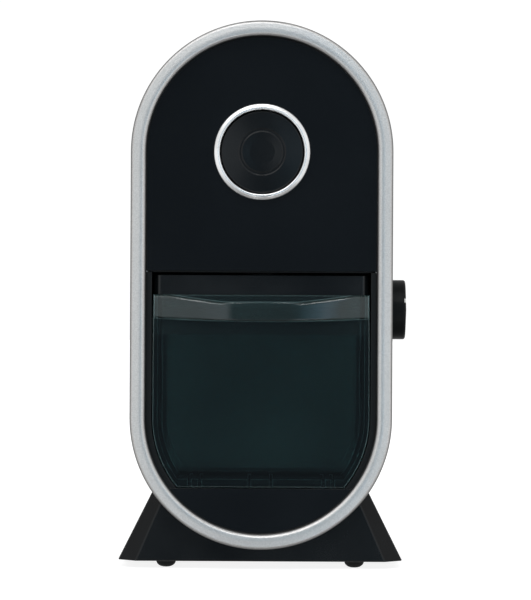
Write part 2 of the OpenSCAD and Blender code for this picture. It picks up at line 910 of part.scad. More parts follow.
module compound_gear() {
    color("#e6e2d6") translate([compound_x, compound_y, 0]) {
        translate([0, 0, first_z]) rotate([0, 0, to_motor + 180 / teeth_motor_side])
            gear(teeth_motor_side, first_t, pin_r + pin_fit);
        translate([0, 0, first_z + first_t - 0.01]) rotate([0, 0, to_drive])
            gear(teeth_small, second_z + second_t + 0.5 - first_z - first_t, pin_r + pin_fit);
    }
}

module compound_gear_pin() {
    color("#a7abae") translate([compound_x, compound_y, gear_plate_z])
        cylinder(r = pin_r, h = cover_z + cover_t - gear_plate_z);
}

module motor_pinion() {
    color("#c59a55") translate([0, motor_y, first_z - 0.5]) rotate([0, 0, to_motor + 180])
        gear(teeth_small, first_t + 1, motor_shaft_r);
}

module gear_plate() {
    color("#4b5056") difference() {
        translate([-52, -19, gear_plate_z]) cube([104, 79, gear_plate_t]);
        at_burr(gear_plate_z - eps) cylinder(r = bush_r, h = 4);
        translate([compound_x, compound_y, gear_plate_z - eps]) cylinder(r = pin_r, h = 4);
        translate([0, motor_y, gear_plate_z - eps]) cylinder(r = 8.5, h = 4);
    }
}

module gear_cover() {
    shell = 2;
    low = gear_plate_z + gear_plate_t;
    color("#4b5056") difference() {
        translate([-29, -20 + 1, low]) cube([78, 71, cover_z + cover_t - low]);
        translate([-29 + shell, -20 + 1 + shell, low - eps])
            cube([78 - 2 * shell, 71 - 2 * shell, cover_z - low + eps]);
        at_burr(cover_z - eps) cylinder(r = bush_r, h = 4);
        translate([compound_x, compound_y, cover_z - eps]) cylinder(r = pin_r, h = 4);
    }
}

// ---- motor ----

module at_motor(z) {
    translate([0, motor_y, z]) children();
}

module motor_shaft() {
    color("#a7abae") at_motor(motor_low - 2)
        cylinder(r = motor_shaft_r, h = first_z + first_t + 0.5 - motor_low + 2);
}

module motor_armature() {
    r = 17;
    poles = 7;
    color("#5a5d60") at_motor(72) difference() {
        cylinder(r = r, h = 38);
        translate([0, 0, -eps]) cylinder(r = motor_shaft_r, h = 40);
        for (i = [0:poles - 1]) rotate([0, 0, i * 360 / poles]) {
            translate([9, -2.5, -eps]) cube([5.5, 5, 40]);
            translate([14, -1, -eps]) cube([5, 2, 40]);
        }
    }
}

module motor_windings() {
    color("#b4622d") {
        at_motor(66.5) tube(14, 8.5, 5.5);
        at_motor(110) tube(14, 5, 6);
        for (i = [0:6]) at_motor(71.5) rotate([0, 0, i * 360 / 7])
            translate([9.2, -2.3, 0]) cube([4.3, 4.6, 39]);
    }
}

module motor_commutator() {
    color("#c07f43") at_motor(61.5) tube(6, motor_shaft_r, 10.5);
}

module motor_can() {
    color("#9a9da0") difference() {
        at_motor(motor_low + end_cap_t) cylinder(r = motor_r, h = motor_top - motor_low - end_cap_t);
        at_motor(motor_low)
            cylinder(r = motor_r - can_t, h = motor_top - can_top_t - motor_low);
        at_motor(motor_top - 5) cylinder(r = motor_bush_r, h = 6);
        for (x = [-1, 1]) translate([x * motor_screw_x, motor_y, motor_top - 5])
            cylinder(r = 1.4, h = 6);
    }
}

module motor_end_cap() {
    color("#d8d2c2") difference() {
        at_motor(motor_low) cylinder(r = motor_r, h = end_cap_t);
        at_motor(motor_low - eps) cylinder(r = motor_bush_r, h = 9);
        for (a = [0, 180]) at_motor(motor_low + 4) rotate([0, 0, a])
            translate([7, -2.5, 0]) cube([8, 5, 4]);
    }
}

module motor_magnets() {
    span = 130;
    color("#3f4144") at_motor(70) for (a = [0, 180]) rotate([0, 0, a + 90 - span / 2])
        rotate_extrude(angle = span) translate([17.7, 0]) square([motor_r - can_t - 17.7, 42]);
}

module motor_brushes() {
    color("#2d2d2f") at_motor(motor_low + 4) for (a = [0, 180]) rotate([0, 0, a]) {
        translate([7.2, -2.3, 0]) cube([5, 4.6, 8]);
        translate([6.15, -1.8, 3.8 + 0.5]) cube([1.2, 3.6, 3.6]);
    }
}

module motor_bushes() {
    color("#b98b4e") {
        at_motor(motor_low + 0.5) tube(motor_bush_r, motor_shaft_r + fit, 5);
        at_motor(motor_top - can_top_t) tube(motor_bush_r, motor_shaft_r + fit, 4);
    }
}

module motor_mount() {
    color("#7c8084") {
        difference() {
            translate([-post_x - 5, motor_y - 12, motor_top]) cube([2 * post_x + 10, 24, mount_t]);
            at_motor(motor_top - eps) cylinder(r = 6, h = 5);
            for (x = [-1, 1]) translate([x * motor_screw_x, motor_y, motor_top - eps])
                cylinder(r = 1.6, h = 5);
        }
        for (x = [-1, 1]) translate([x * post_x, motor_y, motor_top + mount_t - 0.01])
            cylinder(r = 4, h = gear_plate_z - motor_top - mount_t + 0.01);
    }
}

module motor_screws() {
    color("#8d9093") for (x = [-1, 1])
        translate([x * motor_screw_x, motor_y, motor_top + mount_t]) screw(1.4, 5.4, 2.6, 1.8);
}

// ---- cord inlet ----

module cord_gland() {
    color("#111214") translate([0, housing_back - 4, gland_z]) rotate([-90, 0, 0]) difference() {
        union() {
            cylinder(r = gland_r, h = cover_back - housing_back + 4);
            cylinder(r = gland_r + 2, h = 4);
            translate([0, 0, cover_back - housing_back + 4]) cylinder(r = gland_r + 2, h = 2.5);
        }
        translate([0, 0, -eps]) cylinder(r = gland_bore, h = 20);
    }
}

module cord_clamp() {
    color("#d8d2c2") difference() {
        translate([-11, 50, gland_z - 7]) cube([22, 8, 14]);
        translate([0, 49, gland_z]) rotate([-90, 0, 0]) cylinder(r = gland_bore + 0.2, h = 10);
        for (x = [-1, 1]) translate([x * 8, 54, gland_z - 8]) cylinder(r = 1.4, h = 16);
    }
}

front_ring();
upper_front_panel();
lower_front_panel();
main_housing();
container_bay();
rear_cover();
rear_cover_screws();
base_stand();
base_plate();
base_screws();
rubber_feet();
button_bezel();
power_button();
switch_plunger();
power_switch();
control_board();
board_screws();
selector_knob();
knob_pointer();
selector_shaft();
selector_switch();
selector_nut();
grounds_container();
container_lid();
container_gasket();
hopper();
hopper_lid();
adjuster_ring();
upper_burr_carrier();
upper_burr();
upper_burr_screws();
lower_burr_carrier();
lower_burr();
lower_burr_screws();
shaft_nut();
grinding_chamber();
grounds_chute();
chamber_seal();
drive_shaft();
shaft_bushes();
drive_gear();
gear_plate();
gear_cover();
compound_gear();
compound_gear_pin();
motor_pinion();
motor_shaft();
motor_armature();
motor_windings();
motor_commutator();
motor_can();
motor_end_cap();
motor_magnets();
motor_brushes();
motor_bushes();
motor_mount();
motor_screws();
cord_gland();
cord_clamp();
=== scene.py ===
import json
import math

import bmesh
import bpy
from mathutils import Matrix, Vector


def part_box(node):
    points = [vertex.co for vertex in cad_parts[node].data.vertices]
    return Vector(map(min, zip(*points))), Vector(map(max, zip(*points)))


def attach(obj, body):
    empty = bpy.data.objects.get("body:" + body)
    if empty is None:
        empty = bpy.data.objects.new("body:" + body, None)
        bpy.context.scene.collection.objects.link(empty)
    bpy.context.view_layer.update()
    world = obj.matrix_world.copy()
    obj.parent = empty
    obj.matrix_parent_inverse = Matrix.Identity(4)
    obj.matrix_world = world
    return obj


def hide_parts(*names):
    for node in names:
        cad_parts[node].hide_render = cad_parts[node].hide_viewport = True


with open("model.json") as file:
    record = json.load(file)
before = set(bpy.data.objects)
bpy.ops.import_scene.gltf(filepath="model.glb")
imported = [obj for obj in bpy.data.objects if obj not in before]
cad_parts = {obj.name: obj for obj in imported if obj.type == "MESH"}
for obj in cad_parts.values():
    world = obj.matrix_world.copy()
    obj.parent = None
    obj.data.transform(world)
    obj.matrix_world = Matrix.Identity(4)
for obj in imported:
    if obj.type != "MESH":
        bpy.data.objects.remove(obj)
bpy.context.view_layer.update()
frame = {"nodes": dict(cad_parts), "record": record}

# Looks of an upright electric coffee grinder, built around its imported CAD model.
# +Z up, +X to the right, and the front faces -Y. Outlines and solids are worked out in
# millimetres, and piece() brings each of them to the scene's metres.

MM = 0.001
WELD = 0.002          # points closer than this are merged, in millimetres
COLLAPSE = 0.001      # edges shorter than this are dissolved

# Thicknesses and radii that more than one piece uses, in millimetres
PANEL_T = 2.5         # upper front panel
HOUSING_WALL = 2.2
COVER_HEAD_R = 2.9    # heads of the rear cover's and the base's screws
BOARD_HEAD_R = 2.2    # heads of the control board's screws
PILOT_R = 1.3         # bores of the bosses and posts
POST_R = 4
SLEEVE_R = 21.5       # outside of the bezel's sleeve, and of the button's collar
TUB_PLATE_T = 2.4     # the container's front plate
TUB_STEP = 2.4        # how much narrower the tub is than its plate, on each side
TUB_WALL = 2


# ---- numbers ----

def mm(value):
    """Millimetres as metres."""
    return value * MM


def clamp(value):
    """The value held between 0 and 1."""
    return min(1, max(0, value))


def middle(low, high):
    """Halfway between two numbers."""
    return (low + high) / 2


def ends(low, high, radius):
    """Centres of the two round things of this radius that reach from low to high."""
    return low + radius, high - radius


# ---- places that the frame gives ----

def box(node):
    """A CAD node's lowest and highest corner, in millimetres."""
    return [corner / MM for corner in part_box(node)]


def half_width(lo, hi):
    """Half of a box's size along X."""
    return (hi.x - lo.x) / 2


ring_lo, ring_hi = box("front_ring")
RING_R = half_width(ring_lo, ring_hi)
ARC_LOW = ring_lo.z + RING_R       # centres of the body's two round ends
ARC_HIGH = ring_hi.z - RING_R


# ---- outlines ----

def arc(centre, radius, start, end, steps):
    """Points of an arc in a plane, its angles in degrees."""
    angles = [math.radians(start + (end - start) * i / steps) for i in range(steps + 1)]
    return [(centre[0] + radius * math.cos(a), centre[1] + radius * math.sin(a)) for a in angles]


def stadium(radius, steps=72):
    """The body's upright outline, in X and Z."""
    return (arc((0, ARC_HIGH), radius, 0, 180, steps)
            + arc((0, ARC_LOW), radius, 180, 360, steps))


def u_shape(half, low, high, steps=40):
    """Straight sides on a round bottom that is cut flat at low, in X and Z."""
    cut = math.degrees(math.asin((low - ARC_LOW) / half))
    return ([(half, high), (-half, high)]
            + arc((0, ARC_LOW), half, 180, 180 - cut, steps)
            + arc((0, ARC_LOW), half, 360 + cut, 360, steps))


def rounded(corners, steps=6):
    """Closed outline through (u, v, radius) corners, each rounded with its radius."""
    points = []
    for i, (u, v, radius) in enumerate(corners):
        here = Vector((u, v))
        if radius == 0:
            points.append((u, v))
            continue
        before = (Vector(corners[i - 1][:2]) - here).normalized()
        after = (Vector(corners[(i + 1) % len(corners)][:2]) - here).normalized()
        half = before.angle(after) / 2
        centre = here + (before + after).normalized() * (radius / math.sin(half))
        first = here + before * (radius / math.tan(half)) - centre
        last = here + after * (radius / math.tan(half)) - centre
        turn = math.atan2(first.x * last.y - first.y * last.x, first.dot(last))
        start = math.degrees(math.atan2(first.y, first.x))
        points += arc(centre, radius, start, start + math.degrees(turn), steps)
    return points


def rectangle(u0, u1, v0, v1, radius, steps=6):
    """Closed outline of a rectangle with rounded corners, or sharp ones at radius 0."""
    return rounded([(u0, v0, radius), (u1, v0, radius), (u1, v1, radius), (u0, v1, radius)], steps)


# ---- solids ----

def to_object(name, bm):
    """Links a finished mesh to the scene, its faces turned outward."""
    bmesh.ops.recalc_face_normals(bm, faces=bm.faces)
    mesh = bpy.data.meshes.new(name)
    bm.to_mesh(mesh)
    bm.free()
    made = bpy.data.objects.new(name, mesh)
    bpy.context.scene.collection.objects.link(made)
    return made


def loft(name, rings, closed=False, edge=0.0, segments=3):
    """Solid through rings of points. Its two end caps' edges may be rounded."""
    bm = bmesh.new()
    loops = [[bm.verts.new(point) for point in ring] for ring in rings]
    count = len(loops[0])
    pairs = list(zip(loops, loops[1:] + loops[:1]))
    for one, two in pairs if closed else pairs[:-1]:
        for i in range(count):
            j = (i + 1) % count
            bm.faces.new((one[i], one[j], two[j], two[i]))
    if not closed:
        caps = [bm.faces.new(loops[0]), bm.faces.new(loops[-1])]
        if edge:
            rims = list({rim for cap in caps for rim in cap.edges})
            bmesh.ops.bevel(bm, geom=rims, offset=edge, segments=segments, profile=0.5,
                            affect="EDGES", clamp_overlap=True)
    return to_object(name, bm)


def prism_y(name, outline, front, back, edge=0.0, segments=3):
    """An outline in X and Z made solid from front to back."""
    rings = [[(x, y, z) for x, z in outline] for y in (front, back)]
    return loft(name, rings, edge=edge, segments=segments)


def prism_z(name, outline, low, high, edge=0.0):
    """An outline in X and Y made solid from low to high."""
    rings = [[(x, y, z) for x, y in outline] for z in (low, high)]
    return loft(name, rings, edge=edge)


def block(name, lo, hi, edge=0.0):
    """A box whose upright edges may be rounded, used as a cutter or a rib."""
    return prism_z(name, rectangle(lo[0], hi[0], lo[1], hi[1], edge), lo[2], hi[2])


def revolve(name, profile, place, steps=96):
    """Turns (radius, height) points round the axis that place puts along +Z.
    A profile that starts and ends at radius 0 is closed there, and any other is a ring."""
    bm = bmesh.new()
    on_axis = profile[0][0] == 0
    columns = []
    for radius, height in profile:
        if radius == 0:
            columns.append([bm.verts.new(place @ Vector((0, 0, height)))] * steps)
            continue
        turns = [2 * math.pi * i / steps for i in range(steps)]
        circle = [Vector((radius * math.cos(t), radius * math.sin(t), height)) for t in turns]
        columns.append([bm.verts.new(place @ point) for point in circle])
    pairs = list(zip(columns, columns[1:] + columns[:1]))
    for one, two in pairs[:-1] if on_axis else pairs:
        for i in range(steps):
            j = (i + 1) % steps
            corners = list(dict.fromkeys((one[i], one[j], two[j], two[i])))
            bm.faces.new(corners)
    return to_object(name, bm)


def forward(height):
    """Puts +Z along -Y, at a height above the floor."""
    return Matrix.Translation((0, 0, height)) @ Matrix.Rotation(math.radians(90), 4, "X")


def backward(x, y, z):
    """Puts +Z along +Y at a point."""
    return Matrix.Translation((x, y, z)) @ Matrix.Rotation(math.radians(-90), 4, "X")


def rightward(x, y, z):
    """Puts +Z along +X at a point."""
    return Matrix.Translation((x, y, z)) @ Matrix.Rotation(math.radians(90), 4, "Y")


def upright(x, y, z):
    """Keeps +Z upright at a point."""
    return Matrix.Translation((x, y, z))


def rod(name, radius, length, place, steps=32):
    """A plain round cutter."""
    return revolve(name, [(0, 0), (radius, 0), (radius, length), (0, length)], place, steps)


def pillar(name, height, place):
    """A round boss or post with a bore for its screw."""
    profile = [(PILOT_R, 0), (POST_R, 0), (POST_R, height), (PILOT_R, height)]
    return revolve(name, profile, place, 32)


def settle(made):
    """Applies the object's modifiers to its mesh."""
    bpy.context.view_layer.update()
    result = made.evaluated_get(bpy.context.evaluated_depsgraph_get())
    mesh = bpy.data.meshes.new_from_object(result)
    made.modifiers.clear()
    made.data = mesh


def combine(base, operation, tools):
    """Adds, cuts or intersects tools with base, and removes them."""
    for tool in tools:
        step = base.modifiers.new(operation, "BOOLEAN")
        step.operation = operation
        step.solver = "MANIFOLD"
        step.object = tool
    settle(base)
    for tool in tools:
        bpy.data.objects.remove(tool)


def soften(made, width, angle=40):
    """Rounds the edges that turn by more than the angle."""
    step = made.modifiers.new("soften", "BEVEL")
    step.width = width
    step.segments = 3
    step.limit_method = "ANGLE"
    step.angle_limit = math.radians(angle)
    step.miter_outer = "MITER_ARC"
    settle(made)


def piece(made, body, slot, nodes, sharp=25):
    """Gives a finished mesh its shading, its body and its slot's material, in place of CAD nodes.
    """
    bm = bmesh.new()
    bm.from_mesh(made.data)
    bmesh.ops.remove_doubles(bm, verts=bm.verts, dist=WELD)
    bmesh.ops.dissolve_degenerate(bm, dist=COLLAPSE, edges=bm.edges)
    bmesh.ops.scale(bm, verts=bm.verts, vec=(MM, MM, MM))
    bm.to_mesh(made.data)
    bm.free()
    made.data.shade_smooth()
    made.data.set_sharp_from_angle(angle=math.radians(sharp))
    even = made.modifiers.new("even_shading", "WEIGHTED_NORMAL")
    even.keep_sharp = True
    made.data.materials.clear()
    made.data.materials.append(MATERIALS[slot])
    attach(made, body)
    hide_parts(*nodes)


# ---- materials ----

class Nodes:
    """A node tree while its nodes are being joined. A value may be a number, a colour of three
    numbers, or another node's socket."""

    def __init__(self, tree):
        self.tree = tree

    def put(self, socket, value):
        """Links or sets an input."""
        if isinstance(value, bpy.types.NodeSocket):
            self.tree.links.new(value, socket)
        elif socket.type == "RGBA":
            socket.default_value = (*value, 1)
        else:
            socket.default_value = value

    def add(self, kind, **inputs):
        """A new node; a space in an input's name is written as _."""
        made = self.tree.nodes.new(kind)
        for name, value in inputs.items():
            self.put(made.inputs[name.replace("_", " ")], value)
        return made

    def calc(self, operation, *values):
        """The result of a math node."""
        made = self.add("ShaderNodeMath")
        made.operation = operation
        for socket, value in zip(made.inputs, values):
            self.put(socket, value)
        return made.outputs["Value"]

    def span(self, value, low, high, from_low=0.3, from_high=0.7, smooth=False):
        """Stretches from_low to from_high over low to high, and holds it there."""
        made = self.add("ShaderNodeMapRange", Value=value, From_Min=from_low, From_Max=from_high,
                        To_Min=low, To_Max=high)
        made.interpolation_type = "SMOOTHSTEP" if smooth else "LINEAR"
        return made.outputs["Result"]

    def mix(self, factor, one, two):
        """Colours mixed by a factor."""
        made = self.add("ShaderNodeMix")
        made.data_type = "RGBA"
        self.put(made.inputs["Factor"], factor)
        for name, value in (("A", one), ("B", two)):
            self.put(next(i for i in made.inputs if i.name == name and i.type == "RGBA"), value)
        return next(o for o in made.outputs if o.type == "RGBA")


class Finish(Nodes):
    """A procedural material while it is being made."""

    def __init__(self, name, colour, rough, metallic=0.0):
        self.material = bpy.data.materials.new(name)
        self.material.use_nodes = True
        super().__init__(self.material.node_tree)
        self.shader = self.tree.nodes["Principled BSDF"]
        self.colour = colour
        self.rough = rough
        self.set("Metallic", metallic)
        self.set("Roughness", rough)
        self.set("Base Color", colour)
        self.place = self.add("ShaderNodeTexCoord").outputs["Object"]

    def set(self, socket, value):
        """Links or sets an input of the surface shader."""
        self.put(self.shader.inputs[socket], value)

    def stretched(self, x, y, z):
        """Object coordinates scaled on each axis, for brushed and layered marks."""
        made = self.add("ShaderNodeMapping", Vector=self.place, Scale=(x, y, z))
        return made.outputs["Vector"]

    def noise(self, scale, detail=3.0, where=None):
        """Soft noise around one half."""
        made = self.add("ShaderNodeTexNoise", Vector=where or self.place, Scale=scale,
                        Detail=detail)
        return made.outputs["Fac"]

    def cells(self, scale):
        """Small cells, each with a colour of its own."""
        return self.add("ShaderNodeTexVoronoi", Vector=self.place, Scale=scale).outputs["Color"]

    def mottle(self, scale, amount):
        """Varies the base colour softly by the given share."""
        darker = [c * (1 - amount) for c in self.colour]
        lighter = [min(1, c * (1 + amount)) for c in self.colour]
        tone = self.mix(self.span(self.noise(scale), 0, 1), darker, lighter)
        self.set("Base Color", tone)
        return tone

    def vary_roughness(self, scale, amount, fine=0.0, fine_scale=1500):
        """Uneven gloss: wide smudges, and a finer grain if asked."""
        value = self.span(self.noise(scale), self.rough - amount, self.rough + amount)
        if fine:
            value = self.calc("ADD", value, self.span(self.noise(fine_scale, 2), -fine, fine))
        self.set("Roughness", value)

    def grain(self, scale, height, where=None, edge=0.0, detail=3.0):
        """Fine relief of the given height, and edges rounded in shading by the given radius."""
        made = self.add("ShaderNodeBump", Height=self.noise(scale, detail, where), Distance=height,
                        Strength=1)
        if edge:
            soft = self.add("ShaderNodeBevel", Radius=edge)
            self.put(made.inputs["Normal"], soft.outputs["Normal"])
        self.set("Normal", made.outputs["Normal"])

    def within(self, low, high, soft=0.3):
        """1 inside a box of object coordinates in millimetres, and 0 outside it."""
        parts = self.add("ShaderNodeSeparateXYZ", Vector=self.place)
        inside = 1.0
        for axis, start, end in zip("XYZ", low, high):
            rise = self.span(parts.outputs[axis], 0, 1, mm(start), mm(start + soft))
            fall = self.span(parts.outputs[axis], 1, 0, mm(end), mm(end + soft))
            inside = self.calc("MULTIPLY", inside, self.calc("MULTIPLY", rise, fall))
        return inside

    def near_edges(self, radius, strength=1.0):
        """1 at the shape's edges, falling to 0 within the radius."""
        bevel = self.add("ShaderNodeBevel", Radius=radius)
        facing = self.add("ShaderNodeVectorMath")
        facing.operation = "DOT_PRODUCT"
        self.put(facing.inputs[0], bevel.outputs["Normal"])
        self.put(facing.inputs[1], self.add("ShaderNodeNewGeometry").outputs["Normal"])
        return self.span(facing.outputs["Value"], strength, 0, 0.90, 0.995)

    def worn_edges(self, tone, worn, radius, strength):
        """Lightens the outermost edges, where hands and cloths rub."""
        edge = self.near_edges(radius, strength)
        broken = self.calc("MULTIPLY", edge, self.span(self.noise(900), 0.2, 1))
        self.set("Base Color", self.mix(broken, tone, worn))


def plastic(name, colour, rough, grain_height=0.004, grain_scale=2600, wear=0.25, sheen=0.5):
    """Moulded plastic: slight tone changes, uneven gloss, fine mould grain and rubbed edges."""
    finish = Finish(name, colour, rough)
    finish.set("Specular IOR Level", sheen)
    tone = finish.mottle(45, 0.12)
    finish.vary_roughness(35, 0.05, 0.02)
    finish.grain(grain_scale, mm(grain_height), edge=mm(0.25))
    if wear:
        finish.worn_edges(tone, [min(1, c * 1.5 + 0.01) for c in colour], mm(0.5), wear)
    return finish


def metal(name, colour, rough, brush=(1, 1, 1), brush_scale=900, height=0.002, edge=0.2):
    """Machined metal: brushed along one axis, with stains and soft edges."""
    finish = Finish(name, colour, rough, metallic=1.0)
    tone = finish.mottle(120, 0.14)
    finish.vary_roughness(70, 0.08, 0.04)
    finish.grain(brush_scale, mm(height), where=finish.stretched(*brush), edge=mm(edge))
    finish.worn_edges(tone, [min(1, c * 1.25) for c in colour], mm(0.3), 0.5)
    return finish


def silver_paint():
    """Satin silver paint: metal flakes, and rubbed gloss. Its colour is painted darker where the
    surface turns away from view: partly the paint's own flop, partly painted shade for the dark
    reflection along the ring's rounded edges.
    """
    finish = Finish("silver_paint", (0.535, 0.530, 0.523), 0.36, metallic=0.85)
    flakes = finish.add("ShaderNodeSeparateColor", Color=finish.cells(2600)).outputs["Red"]
    base = finish.mottle(60, 0.03)
    flecked = finish.mix(finish.span(flakes, 0, 0.6, 0, 1), base, (0.725, 0.716, 0.706))
    # painted shade: the base colour darkens as the surface turns from view, standing in for the
    # darker reflection on the rounded edges as well as the paint's flop
    turned = finish.add("ShaderNodeLayerWeight", Blend=0.5).outputs["Facing"]
    flop_and_painted_shade = finish.mix(finish.span(turned, 0, 0.9, 0.25, 0.65), flecked, (0.08, 0.08, 0.08))
    finish.set("Base Color", flop_and_painted_shade)
    finish.vary_roughness(50, 0.03, 0.04, 2600)
    finish.grain(2600, mm(0.010), edge=mm(0.15))
    return finish


def gloss_panel():
    """Polished black moulding with faint wiping marks."""
    finish = Finish("gloss_panel", (0.0026, 0.0036, 0.0048), 0.12)
    finish.mottle(20, 0.15)
    finish.vary_roughness(18, 0.03, 0.012, 900)
    finish.grain(60, mm(0.006), edge=mm(0.3), detail=1)
    return finish


def smoke(name, tint, painted_glow_tint, rough, films=()):
    """Smoke-tinted clear plastic with faint flow marks, and edges painted paler and less clear as a
    painted glow of the light they gather.
    Each film of (low corner, high corner, share) is an uneven haze within a box, in millimetres."""
    finish = Finish(name, tint, rough)
    tone = finish.mottle(25, 0.10)
    # painted light: near the edges the colour is paler and the plastic less clear, a painted glow
    # standing in for light that the edges gather
    edge = finish.near_edges(mm(0.7))
    finish.set("Base Color", finish.mix(edge, tone, painted_glow_tint))
    painted_glow_haze, all_over = 0.34, 0.008
    haze = finish.calc("ADD", finish.calc("MULTIPLY", edge, painted_glow_haze), all_over)
    for low, high, share in films:
        patchy = finish.span(finish.noise(30), share * 0.85, share * 1.15)
        haze = finish.calc("ADD", haze, finish.calc("MULTIPLY", patchy, finish.within(low, high)))
    finish.set("Transmission Weight", finish.calc("SUBTRACT", 1.0, haze))
    finish.vary_roughness(40, 0.008, 0.004, 1200)
    finish.grain(55, mm(0.002), detail=1)
    finish.set("IOR", 1.49)
    return finish


def rubber(name, colour, rough=0.75):
    """Matt rubber with a coarser grain."""
    return plastic(name, colour, rough, grain_height=0.012, grain_scale=1800, wear=0.35, sheen=0.3)


def striped_metal(name, colour, dark, rough, pitch, direction):
    """Fine lines across one axis: laminations, winding turns or segments."""
    finish = Finish(name, colour, rough, metallic=1.0)
    wave = finish.add("ShaderNodeTexWave", Vector=finish.place, Scale=0.314 / pitch,
                      Distortion=0.6, Detail=1)
    wave.bands_direction = direction
    lines = wave.outputs["Fac"]
    tone = finish.mix(finish.span(lines, 0, 1, 0.1, 0.6), dark, finish.mottle(200, 0.15))
    finish.set("Base Color", tone)
    finish.vary_roughness(90, 0.06, 0.03)
    relief = finish.add("ShaderNodeBump", Height=lines, Distance=pitch * 0.25)
    finish.set("Normal", relief.outputs["Normal"])
    return finish


def circuit_board():
    """Green solder mask with paler copper tracks under it."""
    finish = Finish("circuit_board", (0.012, 0.11, 0.045), 0.35)
    tracks = finish.add("ShaderNodeTexBrick", Vector=finish.place, Scale=120,
                        Color1=finish.colour, Color2=(0.015, 0.14, 0.055),
                        Mortar=(0.06, 0.24, 0.10))
    finish.set("Base Color", tracks.outputs["Color"])
    finish.vary_roughness(80, 0.05)
    finish.grain(700, mm(0.01), edge=mm(0.2))
    return finish


MATERIALS = {slot: finish.material for slot, finish in {
    "ring_silver": silver_paint(),
    "panel_gloss": gloss_panel(),
    "housing_black": plastic("housing_plastic", (0.0050, 0.0062, 0.0072), 0.30, 0.003, sheen=0.3),
    "bay_black": plastic("bay_plastic", (0.0036, 0.0046, 0.0052), 0.38, 0.004, sheen=0.22),
    "stand_black": plastic("stand_plastic", (0.0038, 0.0048, 0.0057), 0.24, 0.003, sheen=0.28),
    "base_plate_grey": plastic("base_plate_plastic", (0.03, 0.031, 0.034), 0.55, 0.02, 1200),
    "foot_rubber": rubber("foot_rubber", (0.006, 0.0063, 0.0066)),
    "screw_steel": metal("zinc_plated_steel", (0.55, 0.56, 0.57), 0.32),
    "bezel_bright": metal("satin_chrome", (0.84, 0.84, 0.84), 0.26, height=0.0006, edge=0.1),
    "button_black": plastic("button_plastic", (0.0035, 0.0046, 0.0056), 0.20, 0.002, sheen=0.32),
    "switch_blue": plastic("switch_plastic", (0.03, 0.07, 0.19), 0.4),
    "plunger_white": plastic("plunger_plastic", (0.62, 0.62, 0.60), 0.4),
    "board_green": circuit_board(),
    "knob_black": plastic("knob_plastic", (0.0095, 0.0102, 0.0106), 0.36, 0.004, sheen=0.10),
    "pointer_white": plastic("pointer_paint", (0.80, 0.80, 0.78), 0.45, wear=0),
    "shaft_steel": metal("ground_steel", (0.56, 0.57, 0.58), 0.24, (60, 60, 3), 12),
    "selector_grey": plastic("selector_plastic", (0.05, 0.055, 0.06), 0.45),
    # the smoke plastic's second colour is the paler painted glow along its edges
    "tub_smoke": smoke("smoke_plastic", (0.20, 0.34, 0.34), (0.36, 0.54, 0.55), 0.014,
                       [((-45, -71.95, 48.5), (45, 20, 112), 0.14),
                        ((-60, -90, 112), (60, -74.2, 140), 0.07)]),
    "lid_black": plastic("lid_plastic", (0.0040, 0.0052, 0.0062), 0.22, 0.002, sheen=0.35),
    "seal_silicone": rubber("seal_silicone", (0.055, 0.057, 0.06), 0.6),
    # the second colour is the paler painted glow along the lid's edges
    "hopper_smoke": smoke("hopper_smoke_plastic", (0.28, 0.38, 0.39), (0.40, 0.52, 0.53), 0.03),
    "adjuster_orange": plastic("adjuster_plastic", (0.62, 0.20, 0.035), 0.42),
    "carrier_alloy": metal("cast_alloy", (0.60, 0.61, 0.62), 0.45, (1, 1, 1), 1600, 0.01),
    "burr_steel": metal("burr_steel", (0.46, 0.47, 0.48), 0.28, (1, 1, 40), 40, 0.001),
    "chamber_grey": plastic("chamber_plastic", (0.045, 0.05, 0.055), 0.5, 0.01),
    "bush_bronze": metal("sintered_bronze", (0.50, 0.33, 0.16), 0.5, (1, 1, 1), 2500, 0.008),
    "gear_acetal": plastic("acetal", (0.76, 0.73, 0.65), 0.38, 0.003),
    "gearbox_grey": plastic("gearbox_plastic", (0.08, 0.085, 0.095), 0.5, 0.01),
    "pinion_brass": metal("cut_brass", (0.66, 0.46, 0.20), 0.28),
    "armature_iron": striped_metal("laminated_iron", (0.26, 0.26, 0.27), (0.08, 0.08, 0.085), 0.5,
                                   mm(0.5), "Z"),
    "winding_copper": striped_metal("enamelled_wire", (0.62, 0.22, 0.08), (0.16, 0.05, 0.02), 0.28,
                                    mm(0.4), "Z"),
    "commutator_copper": striped_metal("commutator_copper", (0.68, 0.36, 0.17), (0.10, 0.06, 0.04),
                                       0.3, mm(2), "X"),
    "can_steel": metal("zinc_can", (0.50, 0.51, 0.52), 0.38, (1, 1, 0.05), 500),
    "end_cap_cream": plastic("end_cap_plastic", (0.60, 0.55, 0.44), 0.5),
    "magnet_ferrite": plastic("ferrite", (0.05, 0.05, 0.054), 0.62, 0.02, 1500),
    "brush_carbon": plastic("pressed_carbon", (0.03, 0.03, 0.032), 0.55, 0.015, 2200),
    "gland_black": rubber("gland_rubber", (0.012, 0.012, 0.013), 0.6),
}.items()}

# Every CAD node takes its slot's material; the pieces below replace some of them
for subpart in frame["record"]["subparts"]:
    material_list = frame["nodes"][subpart["node"]].data.materials
    if not material_list:
        material_list.append(None)
    for index in range(len(material_list)):
        material_list[index] = MATERIALS[subpart["material_slot"]]


# ---- front ----

